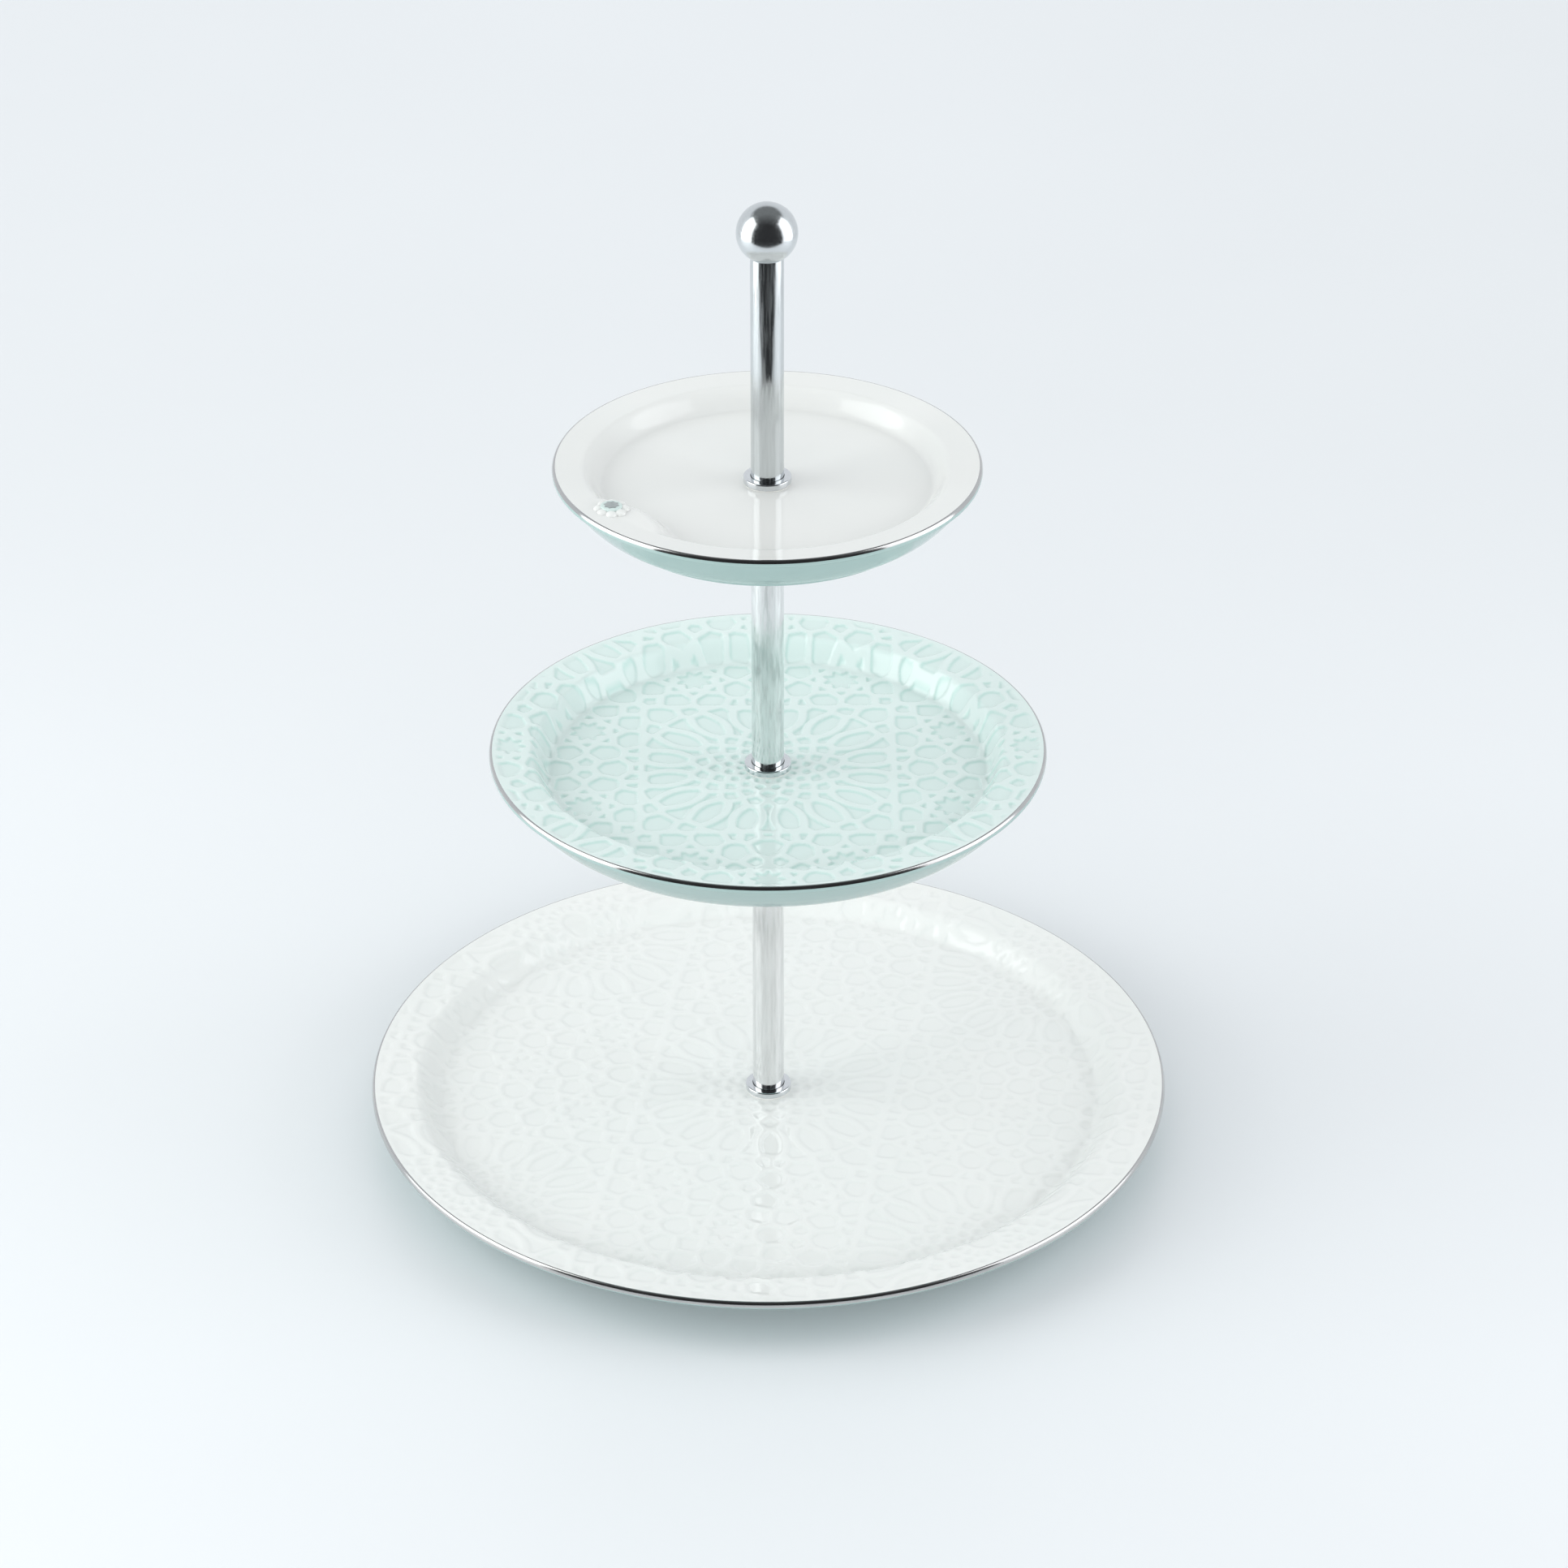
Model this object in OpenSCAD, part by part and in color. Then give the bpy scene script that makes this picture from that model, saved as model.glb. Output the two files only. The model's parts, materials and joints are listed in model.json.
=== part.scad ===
// Three-tier cake stand: three glazed plates on a chromed centre post with a ball finial.
// Millimetres, +Z up. The origin is the centre of the bottom plate's foot ring, on the table.
// The post is three tubes that screw together through the plates: each tube has a tapped plug
// in its foot and, except for the last, a stud in its top that passes through the next plate.

/* [Bottom plate] */
// Outer radius
bottom_r = 152.8; // [146:0.1:158]
// Height of the rim over the table
bottom_h = 22; // [20:0.1:26]
// Depth of the well below the rim
bottom_well = 8.3; // [7:0.1:10]
// Width of the flat flange
bottom_flange = 16; // [12:0.1:18]
// Width of the wall between flange and well
bottom_wall = 11.5; // [8:0.1:14]
// Outer radius of the foot ring
bottom_foot_r = 126; // [120:0.5:130]
// Roundness of the underside, 1 for a straight cone
bottom_belly = 1.05; // [1:0.05:2]

/* [Middle plate] */
// Outer radius
middle_r = 103.6; // [98:0.1:108]
// Height of the rim over its foot ring
middle_h = 21.2; // [19:0.1:24]
// Depth of the well below the rim
middle_well = 10.3; // [8:0.1:12]
// Width of the flat flange
middle_flange = 15.2; // [12:0.1:17]
// Width of the wall between flange and well
middle_wall = 7.4; // [6:0.1:10]
// Outer radius of the foot ring
middle_foot_r = 82.5; // [78:0.5:86]
// Roundness of the underside, 1 for a straight cone
middle_belly = 1.65; // [1:0.05:2]

/* [Top plate] */
// Outer radius
top_r = 77.6; // [72:0.1:82]
// Height of the rim over its foot ring
top_h = 19.5; // [18:0.1:22]
// Depth of the well below the rim
top_well = 8.1; // [7:0.1:10]
// Width of the flat flange
top_flange = 10.6; // [9:0.1:12]
// Width of the wall between flange and well
top_wall = 8; // [6:0.1:10]
// Outer radius of the foot ring
top_foot_r = 59.5; // [56:0.5:62]
// Roundness of the underside, 1 for a straight cone
top_belly = 1.65; // [1:0.05:2]

/* [All plates] */
// Thickness of the well's floor
floor_t = 4.8; // [4:0.1:5.4]
// Height of the rounded lip at the rim
lip_h = 2.9; // [2.6:0.1:3.2]
// Fall of the flange from the lip to the wall
flange_fall = 1; // [0.5:0.1:1.5]
// Width of the foot ring
foot_w = 3; // [2.5:0.1:4]
// Radius of the hole for the post
hole_r = 4; // [3.5:0.1:4.1]

/* [Tiers] */
// Rise from the bottom rim to the middle rim
middle_rise = 144.9; // [120:0.1:170]
// Rise from the middle rim to the top rim
top_rise = 116.5; // [100:0.1:140]
// Rise from the top rim to the finial's centre
finial_rise = 89.5; // [70:0.1:110]

/* [Post] */
// Outer radius of the tubes
tube_r = 6; // [5.8:0.1:6.5]
// Wall of the tubes
tube_wall = 1; // [0.8:0.1:1.2]
// Outer radius of the collars
collar_r = 8.8; // [8.2:0.1:9.2]
// Height of the collars
collar_h = 2.4; // [2:0.1:3]
// Radius of the ball finial
ball_r = 11; // [9:0.1:13]

/* [Fixings] */
// Radius of the M6 screw and studs
thread_r = 3; // [2.9:0.05:3.1]
// Running clearance between a stud and its tapped plug
thread_gap = 0.05; // [0.03:0.01:0.1]
// Length of the tapped plugs and of the stud plugs
plug_l = 14; // [12:0.5:16]
// Length of thread in each plug
engage = 10; // [8:0.5:11]
// Thickness of the soft rings over the plates
gasket_t = 0.5; // [0.4:0.1:0.8]
// Thickness of the soft rings under the plates
pad_t = 1; // [0.6:0.1:1.2]
// Thickness of the steel washers
washer_t = 1.6; // [1.2:0.1:1.8]
// Outer radius of the steel washers
washer_r = 12; // [11:0.5:13]

/* [Floret] */
// Distance of the floret from the post
floret_r = 65.8; // [65:0.1:67]
// Angle of the floret round the post
floret_a = 213; // [0:1:359]
// Radius of the floret over its petals
floret_w = 6.6; // [5.5:0.1:7]
// Number of petals
floret_petals_n = 8; // [6:1:12]
// Radius of the widened flange behind the floret
lobe_r = 31.5; // [28:0.5:33]

/* [Hidden] */

// Heights over the table: each plate's rim, the top of its well and the underside of its floor
bottom_rim_z = bottom_h;
middle_rim_z = bottom_rim_z + middle_rise;
top_rim_z = middle_rim_z + top_rise;
finial_z = top_rim_z + finial_rise;
bottom_well_z = bottom_rim_z - bottom_well;
middle_well_z = middle_rim_z - middle_well;
top_well_z = top_rim_z - top_well;
bottom_under_z = bottom_well_z - floor_t;
middle_under_z = middle_well_z - floor_t;
top_under_z = top_well_z - floor_t;

// The collar's floor under the tube, and the tube ends
collar_floor = 0.8;
seat_h = gasket_t + collar_floor;
lower_tube_z = bottom_well_z + seat_h;
middle_tube_z = middle_well_z + seat_h;
upper_tube_z = top_well_z + seat_h;
lower_tube_top = middle_under_z - pad_t - washer_t;
middle_tube_top = top_under_z - pad_t - washer_t;
// The ball is cut flat where it stands on the upper tube
ball_flat_r = tube_r + 0.3;
upper_tube_top = finial_z - sqrt(ball_r * ball_r - ball_flat_r * ball_flat_r);

collar_gap = 0.15;        // ring of shadow between a tube and its collar
collar_bevel = 0.5;       // rounding of the collar's top edge
clear_r = thread_r + 0.2; // washers and collars go loosely over the thread
ring_r = thread_r + 1.2;  // inner radius of the soft rings
gasket_r = collar_r - 0.4;
foot_h = 2.2;             // height of the foot ring under the belly
lip_w = 1;                // width of the lip's rounded top
lip_low = 0.9;            // radius of its lower edge
tip = 0.6;                // taper at the end of a thread
screw_head_r = 5.2;
screw_head_h = 3.6;
socket_r = 4 / sqrt(3);   // hexagon of 4 mm across flats
socket_depth = 2;
blind = 1;                // depth of a tapped hole beyond its stud

// The floret: where it stands, and the widened flange behind it
floret_z = top_rim_z - flange_fall;
petal_h = 1.6;
boss_sunk = 0.9;          // depth of the boss in the petals
boss_h = 1.2;
boss_r = 3.9;
star_r = 2.6;
star_h = 0.2;
star_points = 8;
lobe_behind = 22.2;       // the lobe's centre lies this far outside the floret
lobe_a = 219;             // and at this angle
lobe_slope = 5;           // the lobe's wall spreads this much down to the well

$fn = 96;
arc_steps = 10;
curve_steps = 12;

// Half outline of a plate's section, from the hole's top edge out over the rim and back below.
function plate_outline(r, rim_z, well_d, flange, wall, foot_z, foot_r, belly) =
    let (well_z = rim_z - well_d,
         flange_z = rim_z - flange_fall,
         wall_out = r - flange,
         wall_in = wall_out - wall,
         lip_top = lip_h - lip_low,
         lip_z = rim_z - lip_top,
         belly_r = foot_r + 1,
         belly_out = r - lip_low - 0.8,
         belly_top = rim_z - lip_h,
         belly_low = foot_z + foot_h)
    concat(
        [[hole_r, well_z]],
        [for (i = [0 : curve_steps])
            let (t = i / curve_steps)
            [wall_in + wall * t, well_z + (flange_z - well_z) * (1 - cos(180 * t)) / 2]],
        [for (i = [0 : arc_steps])
            let (a = 90 - 90 * i / arc_steps)
            [r - lip_w + lip_w * cos(a), lip_z + lip_top * sin(a)]],
        [for (i = [1 : arc_steps / 2])
            let (a = -180 * i / arc_steps)
            [r - lip_low + lip_low * cos(a), lip_z + lip_low * sin(a)]],
        [for (i = [0 : curve_steps])
            let (t = 1 - i / curve_steps)
            [belly_r + (belly_out - belly_r) * t,
             belly_top - 0.2 + (belly_low - belly_top + 0.2) * (1 - pow(t, belly))]],
        [[foot_r, foot_z + 0.6], [foot_r - 0.6, foot_z], [foot_r - foot_w + 0.6, foot_z],
         [foot_r - foot_w, foot_z + 0.6], [foot_r - foot_w - 1, well_z - floor_t],
         [hole_r, well_z - floor_t]]);

module bottom_plate() {
    color("white")
    rotate_extrude($fn = 180)
    polygon(plate_outline(bottom_r, bottom_rim_z, bottom_well, bottom_flange, bottom_wall,
                          0, bottom_foot_r, bottom_belly));
}

module middle_plate() {
    color([0.80, 0.91, 0.89])
    rotate_extrude($fn = 180)
    polygon(plate_outline(middle_r, middle_rim_z, middle_well, middle_flange, middle_wall,
                          middle_rim_z - middle_h, middle_foot_r, middle_belly));
}

// The widened flange: a flat-topped cone that fills the well's edge behind the floret.
module lobe() {
    low = top_well_z - 1;
    intersection() {
        rotate(lobe_a) translate([floret_r + lobe_behind, 0, low])
        cylinder(h = floret_z - low, r1 = lobe_r + lobe_slope, r2 = lobe_r);
        translate([0, 0, low])
        cylinder(h = floret_z - low, r = top_r - top_flange + 1, $fn = 180);
    }
}

module top_plate_round() {
    rotate_extrude($fn = 180)
    polygon(plate_outline(top_r, top_rim_z, top_well, top_flange, top_wall,
                          top_rim_z - top_h, top_foot_r, top_belly));
}

module top_plate() {
    color("white")
    union() {
        top_plate_round();
        lobe();
    }
}

module at_floret() {
    rotate(floret_a) translate([floret_r, 0, floret_z]) children();
}

// The petals stand on the lobe and follow the rise of the flange outside it.
module floret_petals() {
    petal_r = floret_w * 0.26;
    color("white")
    difference() {
        at_floret() {
            cylinder(h = petal_h, r = floret_w - petal_r);
            for (i = [0 : floret_petals_n - 1])
                rotate(360 * (i + 0.5) / floret_petals_n) translate([floret_w - petal_r, 0, 0])
                cylinder(h = petal_h - 0.3, r = petal_r, $fn = 32);
        }
        at_floret() translate([0, 0, petal_h - boss_sunk]) cylinder(h = boss_h, r = boss_r);
        top_plate_round();
    }
}

module floret_boss() {
    color([0.75, 0.90, 0.87])
    at_floret() translate([0, 0, petal_h - boss_sunk]) {
        cylinder(h = boss_h, r = boss_r);
        translate([0, 0, boss_h]) linear_extrude(star_h) star(star_r, star_r * 0.8, star_points);
    }
}

module star(r_out, r_in, n) {
    polygon([for (i = [0 : 2 * n - 1])
        (i % 2 == 0 ? r_out : r_in) * [cos(180 * i / n), sin(180 * i / n)]]);
}

// A flat ring between two radii.
module ring(z, h, r_out, r_in) {
    translate([0, 0, z])
    difference() {
        cylinder(h = h, r = r_out);
        translate([0, 0, -1]) cylinder(h = h + 2, r = r_in);
    }
}

// A tube's flanged foot: a bevelled ring with a shallow seat for the tube.
module collar(well_z) {
    seat_r = tube_r + collar_gap;
    color("silver")
    translate([0, 0, well_z + gasket_t])
    rotate_extrude()
    polygon(concat(
        [[clear_r, 0], [collar_r, 0]],
        [for (i = [0 : arc_steps])
            let (a = 90 * i / arc_steps)
            [collar_r - collar_bevel * (1 - cos(a)), collar_h - collar_bevel * (1 - sin(a))]],
        [[seat_r, collar_h], [seat_r, collar_floor], [clear_r, collar_floor]]));
}

module tube(z, top) {
    color("silver") ring(z, top - z, tube_r, tube_r - tube_wall);
}

// A tapped plug pressed into a tube's foot. The hole is plain, at the thread's outer radius.
module foot_bush(z) {
    color("darkgray") ring(z, plug_l, tube_r - tube_wall, thread_r + thread_gap);
}

// A plug pressed into a tube's top, with a threaded stud that stands up out of it.
module stud(z, top) {
    color("darkgray") {
        translate([0, 0, z - plug_l]) cylinder(h = plug_l, r = tube_r - tube_wall);
        translate([0, 0, z - 1]) cylinder(h = top - tip - z + 1, r = thread_r);
        translate([0, 0, top - tip]) cylinder(h = tip, r1 = thread_r, r2 = thread_r - tip);
    }
}

module gasket(well_z) {
    color([0.9, 0.9, 0.88]) ring(well_z, gasket_t, gasket_r, ring_r);
}

module pad(under_z) {
    color([0.85, 0.85, 0.83]) ring(under_z - pad_t, pad_t, washer_r, ring_r);
}

module support(under_z) {
    color("darkgray") ring(under_z - pad_t - washer_t, washer_t, washer_r, clear_r);
}

// Bottom plate: fixed from below with a screw.
module base_pad() pad(bottom_under_z);
module base_washer() support(bottom_under_z);
module base_screw() {
    under_head = bottom_under_z - pad_t - washer_t;
    top = lower_tube_z + engage;
    color("darkgray")
    difference() {
        union() {
            translate([0, 0, under_head - screw_head_h]) cylinder(h = screw_head_h, r = screw_head_r);
            translate([0, 0, under_head - 1]) cylinder(h = top - tip - under_head + 1, r = thread_r);
            translate([0, 0, top - tip]) cylinder(h = tip, r1 = thread_r, r2 = thread_r - tip);
        }
        translate([0, 0, under_head - screw_head_h - 1])
        cylinder(h = socket_depth + 1, r = socket_r, $fn = 6);
    }
}
module lower_gasket() gasket(bottom_well_z);
module lower_collar() collar(bottom_well_z);
module lower_tube() tube(lower_tube_z, lower_tube_top);
module lower_foot_bush() foot_bush(lower_tube_z);
module lower_stud() stud(lower_tube_top, middle_tube_z + engage);

// Middle plate: held between the lower and the middle tube.
module middle_support() support(middle_under_z);
module middle_pad() pad(middle_under_z);
module middle_gasket() gasket(middle_well_z);
module middle_collar() collar(middle_well_z);
module middle_tube() tube(middle_tube_z, middle_tube_top);
module middle_foot_bush() foot_bush(middle_tube_z);
module middle_stud() stud(middle_tube_top, upper_tube_z + engage);

// Top plate: held between the middle and the upper tube, which is the handle.
module top_support() support(top_under_z);
module top_pad() pad(top_under_z);
module upper_gasket() gasket(top_well_z);
module upper_collar() collar(top_well_z);
module upper_tube() tube(upper_tube_z, upper_tube_top);
module upper_foot_bush() foot_bush(upper_tube_z);
module finial_stud() stud(upper_tube_top, upper_tube_top + engage);
module ball_finial() {
    color("silver")
    difference() {
        translate([0, 0, finial_z]) sphere(r = ball_r);
        translate([0, 0, upper_tube_top - ball_r]) cylinder(h = ball_r, r = ball_r);
        translate([0, 0, upper_tube_top - 1])
        cylinder(h = engage + blind + 1, r = thread_r + thread_gap);
    }
}

bottom_plate();
middle_plate();
top_plate();
floret_petals();
floret_boss();
base_screw();
base_washer();
base_pad();
lower_gasket();
lower_collar();
lower_tube();
lower_foot_bush();
lower_stud();
middle_support();
middle_pad();
middle_gasket();
middle_collar();
middle_tube();
middle_foot_bush();
middle_stud();
top_support();
top_pad();
upper_gasket();
upper_collar();
upper_tube();
upper_foot_bush();
finial_stud();
ball_finial();
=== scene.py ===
"""Three-tier cake stand: glazed plates in white and celadon on a chromed centre post.

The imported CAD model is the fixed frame. The plates, the floret and the bright metal parts are
built here as finer meshes in the same places. Lengths are in metres, unless a comment or docstring
says that they are in millimetres.
"""

import json
import math

import bpy
import numpy as np
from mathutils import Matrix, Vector


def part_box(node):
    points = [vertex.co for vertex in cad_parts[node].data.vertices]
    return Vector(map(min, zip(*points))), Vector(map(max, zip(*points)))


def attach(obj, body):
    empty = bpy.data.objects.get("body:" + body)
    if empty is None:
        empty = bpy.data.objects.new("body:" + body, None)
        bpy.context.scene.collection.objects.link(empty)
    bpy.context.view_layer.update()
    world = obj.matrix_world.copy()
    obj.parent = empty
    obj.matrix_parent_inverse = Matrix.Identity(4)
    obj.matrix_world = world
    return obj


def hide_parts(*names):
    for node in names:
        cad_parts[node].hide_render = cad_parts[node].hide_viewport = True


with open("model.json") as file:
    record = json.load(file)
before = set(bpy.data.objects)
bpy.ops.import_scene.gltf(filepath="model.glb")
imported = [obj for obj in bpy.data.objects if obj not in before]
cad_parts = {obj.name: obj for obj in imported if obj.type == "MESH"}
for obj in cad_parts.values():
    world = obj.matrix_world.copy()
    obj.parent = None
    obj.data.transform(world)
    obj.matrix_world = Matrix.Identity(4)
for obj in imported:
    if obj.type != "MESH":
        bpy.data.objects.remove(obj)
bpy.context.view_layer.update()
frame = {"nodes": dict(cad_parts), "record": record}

MM = 0.001
TAU = 2 * math.pi


# ---------------------------------------------------------------- camera, lights and floor

DARK_ROOM = (0.035, 0.036, 0.038)  # what polished metal mirrors from in front of the table
BACKDROP = (0.80, 0.83, 0.87)
OVERHEAD = (0.21, 0.22, 0.225)
AMBIENT = (0.60, 0.61, 0.615)
FILL = (0.98, 0.99, 1.0)
LOOK_DOWN, LOOK_ASIDE = math.radians(30.03), math.radians(-0.214)


def add_camera():
    """Long lens in front of the stand, looking down at 30 degrees."""
    data = bpy.data.cameras.new("camera")
    data.sensor_width = 36
    data.lens = 113.68
    data.clip_end = 20
    camera = bpy.data.objects.new("camera", data)
    camera.location = (0, -1.6009, 1.0749)
    camera.rotation_euler = (math.pi / 2 - LOOK_DOWN, 0, LOOK_ASIDE)
    bpy.context.scene.collection.objects.link(camera)
    bpy.context.scene.camera = camera


def add_softbox(name, place, target, size, radiance, colour, mirrored=True):
    """Rectangular area light at place, facing target. mirrored says if glossy surfaces show it,
    and the power grows with the area, so that radiance alone sets how bright it looks."""
    data = bpy.data.lights.new(name, "AREA")
    data.shape = "RECTANGLE"
    data.size, data.size_y = size
    data.energy = radiance * math.pi * size[0] * size[1]
    data.color = colour
    light = bpy.data.objects.new(name, data)
    light.location = place
    light.rotation_euler = (Vector(target) - Vector(place)).to_track_quat("-Z", "Y").to_euler()
    light.visible_camera = False
    light.visible_glossy = mirrored
    bpy.context.scene.collection.objects.link(light)


def add_lights():
    """Two tall diffusers beside the stand, and unmirrored soft fill from all four sides."""
    for name, x, y, width, radiance, colour in (
            ("left_box", -0.95, -0.175, 0.87, 2.0, (0.97, 1.0, 0.985)),
            ("right_box", 0.95, -0.15, 0.82, 1.48, (0.97, 0.98, 1.0))):
        add_softbox(name, (x, y, 0.74), (0, y, 0.74), (width, 1.44), radiance, colour)
    add_softbox("front_fill", (0, -1.6, 0.55), (0, 0, 0.05), (2.6, 1.0), 1.9, FILL, False)
    add_softbox("left_fill", (-1.7, 0, 0.6), (0, 0, 0.1), (2.6, 1.1), 0.62, FILL, False)
    add_softbox("right_fill", (1.7, 0, 0.6), (0, 0, 0.1), (2.6, 1.1), 0.30, FILL, False)
    add_softbox("back_fill", (-0.25, 1.5, 1.3), (-0.25, 1.6, 0), (3.2, 1.4), 0.98,
                (0.97, 0.985, 1.0), False)


def add_world():
    """Reflections show it pale behind the table, grey overhead and dark in front. Matt surfaces
    take an even soft light from it, and the camera sees a plain pale backdrop."""
    world = bpy.data.worlds.new("studio")
    bpy.context.scene.world = world
    world.use_nodes = True
    tree = world.node_tree
    background = tree.nodes["Background"]
    direction = tree.nodes.new("ShaderNodeTexCoord")
    axes = tree.nodes.new("ShaderNodeSeparateXYZ")
    tree.links.new(direction.outputs["Generated"], axes.inputs[0])
    upward = link_ramp(tree, axes.outputs["Z"], None,
                       [(0.58, (0.80, 0.83, 0.86)), (0.72, OVERHEAD)])
    behind = tree.nodes.new("ShaderNodeMapRange")
    behind.inputs["From Min"].default_value = -0.62
    behind.inputs["From Max"].default_value = 0.12
    tree.links.new(axes.outputs["Y"], behind.inputs["Value"])
    room = tree.nodes.new("ShaderNodeMix")
    room.data_type = "RGBA"
    room.inputs["A"].default_value = (*DARK_ROOM, 1)
    tree.links.new(behind.outputs["Result"], room.inputs["Factor"])
    tree.links.new(upward, room.inputs["B"])
    ray = tree.nodes.new("ShaderNodeLightPath")
    shown = room.outputs["Result"]
    for kind, colour in (("Is Camera Ray", BACKDROP), ("Is Diffuse Ray", AMBIENT)):
        seen = tree.nodes.new("ShaderNodeMix")
        seen.data_type = "RGBA"
        seen.inputs["B"].default_value = (*colour, 1)
        tree.links.new(ray.outputs[kind], seen.inputs["Factor"])
        tree.links.new(shown, seen.inputs["A"])
        shown = seen.outputs["Result"]
    tree.links.new(shown, background.inputs["Color"])


def add_plane(name, low, high, z):
    """Level rectangle between two corners, as a stage piece that isn't part of the stand."""
    mesh = bpy.data.meshes.new(name)
    corners = [(low[0], low[1], z), (high[0], low[1], z), (high[0], high[1], z), (low[0], high[1], z)]
    mesh.from_pydata(corners, [], [(0, 1, 2, 3)])
    plane = bpy.data.objects.new(name, mesh)
    bpy.context.scene.collection.objects.link(plane)
    return plane


def add_floor():
    """Pale table, as large as the lit area."""
    floor = add_plane("floor", (-0.93, -1.45), (0.93, 2.4), 0)
    material, tree, shader = new_material("floor")
    shader.inputs["Roughness"].default_value = 0.32
    shader.inputs["Specular IOR Level"].default_value = 0.25
    noise = noise_node(tree, 3.0, 3)
    link_ramp(tree, noise, shader.inputs["Base Color"],
              [(0.35, (0.74, 0.765, 0.787)), (0.65, (0.75, 0.775, 0.797))])
    floor.data.materials.append(material)


def add_flag():
    """Black card lying in front of the stand, seen from above by reflections and nothing else."""
    flag = add_plane("flag", (-8, -8), (8, -0.56), 0.002)
    flag.visible_camera = False
    flag.visible_diffuse = False
    flag.visible_shadow = False
    flag.visible_transmission = False
    material = bpy.data.materials.new("flag")
    material.use_nodes = True
    tree = material.node_tree
    tree.nodes.clear()
    output = tree.nodes.new("ShaderNodeOutputMaterial")
    mix = tree.nodes.new("ShaderNodeMixShader")
    dark = tree.nodes.new("ShaderNodeEmission")
    dark.inputs["Color"].default_value = (*DARK_ROOM, 1)
    clear = tree.nodes.new("ShaderNodeBsdfTransparent")
    side = tree.nodes.new("ShaderNodeNewGeometry")
    tree.links.new(side.outputs["Backfacing"], mix.inputs[0])
    tree.links.new(dark.outputs[0], mix.inputs[1])
    tree.links.new(clear.outputs[0], mix.inputs[2])
    tree.links.new(mix.outputs[0], output.inputs["Surface"])
    flag.data.materials.append(material)


# ---------------------------------------------------------------- material helpers

def new_material(name):
    material = bpy.data.materials.new(name)
    material.use_nodes = True
    tree = material.node_tree
    return material, tree, tree.nodes["Principled BSDF"]


def noise_node(tree, scale, detail=4, stretch=(1, 1, 1)):
    """Noise in object space; stretch under 1 draws it out along that axis."""
    place = tree.nodes.new("ShaderNodeTexCoord")
    mapping = tree.nodes.new("ShaderNodeMapping")
    mapping.inputs["Scale"].default_value = stretch
    noise = tree.nodes.new("ShaderNodeTexNoise")
    noise.inputs["Scale"].default_value = scale
    noise.inputs["Detail"].default_value = detail
    tree.links.new(place.outputs["Object"], mapping.inputs["Vector"])
    tree.links.new(mapping.outputs["Vector"], noise.inputs["Vector"])
    return noise.outputs["Fac"]


def link_ramp(tree, value, socket, stops):
    """Colour ramp from value to a colour socket; stops are (position, rgb)."""
    ramp = tree.nodes.new("ShaderNodeValToRGB")
    elements = ramp.color_ramp.elements
    while len(elements) < len(stops):
        elements.new(0.5)
    for element, (position, rgb) in zip(elements, stops):
        element.position = position
        element.color = (*rgb, 1)
    tree.links.new(value, ramp.inputs["Fac"])
    if socket is not None:
        tree.links.new(ramp.outputs["Color"], socket)
    return ramp.outputs["Color"]


def link_range(tree, value, socket, low, high, start=0.3, end=0.7):
    """Maps value from start..end to low..high on a number socket."""
    spread = tree.nodes.new("ShaderNodeMapRange")
    spread.inputs["From Min"].default_value = start
    spread.inputs["From Max"].default_value = end
    spread.inputs["To Min"].default_value = low
    spread.inputs["To Max"].default_value = high
    tree.links.new(value, spread.inputs["Value"])
    tree.links.new(spread.outputs["Result"], socket)


def link_bump(tree, value, shader, distance, strength=1.0):
    bump = tree.nodes.new("ShaderNodeBump")
    bump.inputs["Distance"].default_value = distance
    bump.inputs["Strength"].default_value = strength
    tree.links.new(value, bump.inputs["Height"])
    tree.links.new(bump.outputs["Normal"], shader.inputs["Normal"])


# ---------------------------------------------------------------- materials

def glaze(name, crest, pooled_and_shaded):
    """Glossy glaze over relief: crest on the raised straps, and a darker tone in the cells for glaze
    pooled deep and for painted shade along their back and left edges.
    """
    material, tree, shader = new_material(name)
    pool_and_shade = tree.nodes.new("ShaderNodeAttribute")
    pool_and_shade.attribute_name = "pool_and_shade"
    tone = link_ramp(tree, pool_and_shade.outputs["Fac"], None, [(0.0, crest), (1.0, pooled_and_shaded)])
    tint = link_ramp(tree, noise_node(tree, 18, 3), None,
                     [(0.3, (0.975, 0.985, 0.985)), (0.7, (1.0, 1.0, 1.0))])
    mix = tree.nodes.new("ShaderNodeMix")
    mix.data_type = "RGBA"
    mix.blend_type = "MULTIPLY"
    mix.inputs["Factor"].default_value = 1
    tree.links.new(tone, mix.inputs["A"])
    tree.links.new(tint, mix.inputs["B"])
    tree.links.new(mix.outputs["Result"], shader.inputs["Base Color"])
    link_range(tree, noise_node(tree, 60, 2), shader.inputs["Roughness"], 0.05, 0.085)
    link_bump(tree, noise_node(tree, 90, 2), shader, 0.00012, 0.5)
    return material


def lustre():
    """Platinum line fired on the rim."""
    material, tree, shader = new_material("platinum_line")
    shader.inputs["Metallic"].default_value = 1
    link_ramp(tree, noise_node(tree, 40, 3), shader.inputs["Base Color"],
              [(0.3, (0.52, 0.52, 0.52)), (0.7, (0.60, 0.595, 0.59))])
    link_range(tree, noise_node(tree, 120, 3), shader.inputs["Roughness"], 0.08, 0.16)
    return material


def biscuit():
    """Bare fired body on the foot ring, where the plate stood in the kiln."""
    material, tree, shader = new_material("biscuit")
    link_ramp(tree, noise_node(tree, 400, 4), shader.inputs["Base Color"],
              [(0.35, (0.70, 0.68, 0.63)), (0.65, (0.80, 0.78, 0.74))])
    shader.inputs["Roughness"].default_value = 0.75
    link_bump(tree, noise_node(tree, 1500, 4), shader, 0.00008)
    return material


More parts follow.
